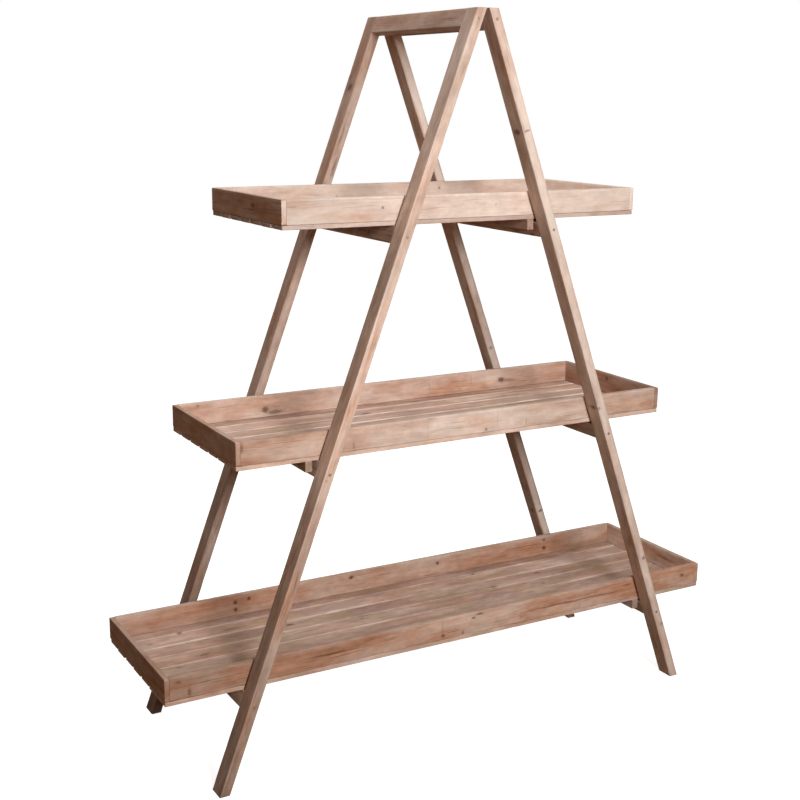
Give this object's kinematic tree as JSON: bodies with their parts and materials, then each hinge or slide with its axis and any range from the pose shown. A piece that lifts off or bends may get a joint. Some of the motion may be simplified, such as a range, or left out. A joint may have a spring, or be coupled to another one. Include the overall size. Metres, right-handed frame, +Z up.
{
  "type": "plant ladder stand",
  "caption": "Folding wooden A-frame plant stand: leaning ladders hinged at the top carry slatted trays that step from short to long.",
  "frame": {"origin": "on the floor, under the middle of the stand", "axes": "+X along the trays to the right, -Y towards the front, +Z up"},
  "size_m": [1.335, 0.439, 1.498],
  "materials": {
    "limed_fir_frame": "sawn fir, pale lime wash worn thin",
    "limed_fir_boards": "reclaimed fir, pale lime wash worn thin, knots and dark grain",
    "weathered_fir_slats": "rough sawn fir, weathered grey-brown",
    "hinge_steel": "zinc plated, dull"
  },
  "bodies": {
    "frame": {"leg_front_left": "limed_fir_frame", "leg_back_left": "limed_fir_frame", "top_rail_left": "limed_fir_frame", "rung_top_left": "limed_fir_frame", "rung_middle_left": "limed_fir_frame", "rung_bottom_left": "limed_fir_frame", "leg_front_right": "limed_fir_frame", "leg_back_right": "limed_fir_frame", "top_rail_right": "limed_fir_frame", "rung_top_right": "limed_fir_frame", "rung_middle_right": "limed_fir_frame", "rung_bottom_right": "limed_fir_frame", "hinge_front_leaf_left": "hinge_steel", "hinge_front_leaf_right": "hinge_steel", "hinge_front_pin": "hinge_steel", "hinge_back_leaf_left": "hinge_steel", "hinge_back_leaf_right": "hinge_steel", "hinge_back_pin": "hinge_steel"},
    "top_tray": {"top_tray_board_front": "limed_fir_boards", "top_tray_board_back": "limed_fir_boards", "top_tray_end_left": "limed_fir_boards", "top_tray_end_right": "limed_fir_boards", "top_tray_slat_1": "weathered_fir_slats", "top_tray_slat_2": "weathered_fir_slats", "top_tray_slat_3": "weathered_fir_slats", "top_tray_slat_4": "weathered_fir_slats", "top_tray_slat_5": "weathered_fir_slats", "top_tray_slat_6": "weathered_fir_slats", "top_tray_slat_7": "weathered_fir_slats", "top_tray_cleat_left": "weathered_fir_slats", "top_tray_cleat_right": "weathered_fir_slats"},
    "middle_tray": {"middle_tray_board_front": "limed_fir_boards", "middle_tray_board_back": "limed_fir_boards", "middle_tray_end_left": "limed_fir_boards", "middle_tray_end_right": "limed_fir_boards", "middle_tray_slat_1": "weathered_fir_slats", "middle_tray_slat_2": "weathered_fir_slats", "middle_tray_slat_3": "weathered_fir_slats", "middle_tray_slat_4": "weathered_fir_slats", "middle_tray_slat_5": "weathered_fir_slats", "middle_tray_slat_6": "weathered_fir_slats", "middle_tray_slat_7": "weathered_fir_slats", "middle_tray_cleat_left": "weathered_fir_slats", "middle_tray_cleat_right": "weathered_fir_slats"},
    "bottom_tray": {"bottom_tray_board_front": "limed_fir_boards", "bottom_tray_board_back": "limed_fir_boards", "bottom_tray_end_left": "limed_fir_boards", "bottom_tray_end_right": "limed_fir_boards", "bottom_tray_slat_1": "weathered_fir_slats", "bottom_tray_slat_2": "weathered_fir_slats", "bottom_tray_slat_3": "weathered_fir_slats", "bottom_tray_slat_4": "weathered_fir_slats", "bottom_tray_slat_5": "weathered_fir_slats", "bottom_tray_slat_6": "weathered_fir_slats", "bottom_tray_slat_7": "weathered_fir_slats", "bottom_tray_cleat_left": "weathered_fir_slats", "bottom_tray_cleat_right": "weathered_fir_slats"}
  },
  "joints": [
    {"name": "top_tray_lift", "type": "slide", "parent": "frame", "child": "top_tray", "axis": [0, 0, 1], "range_m": [0, 0.306]},
    {"name": "middle_tray_lift", "type": "slide", "parent": "frame", "child": "middle_tray", "axis": [0, 0, 1], "range_m": [0, 0.349]},
    {"name": "bottom_tray_lift", "type": "slide", "parent": "frame", "child": "bottom_tray", "axis": [0, 0, 1], "range_m": [0, 0.347]}
  ]
}
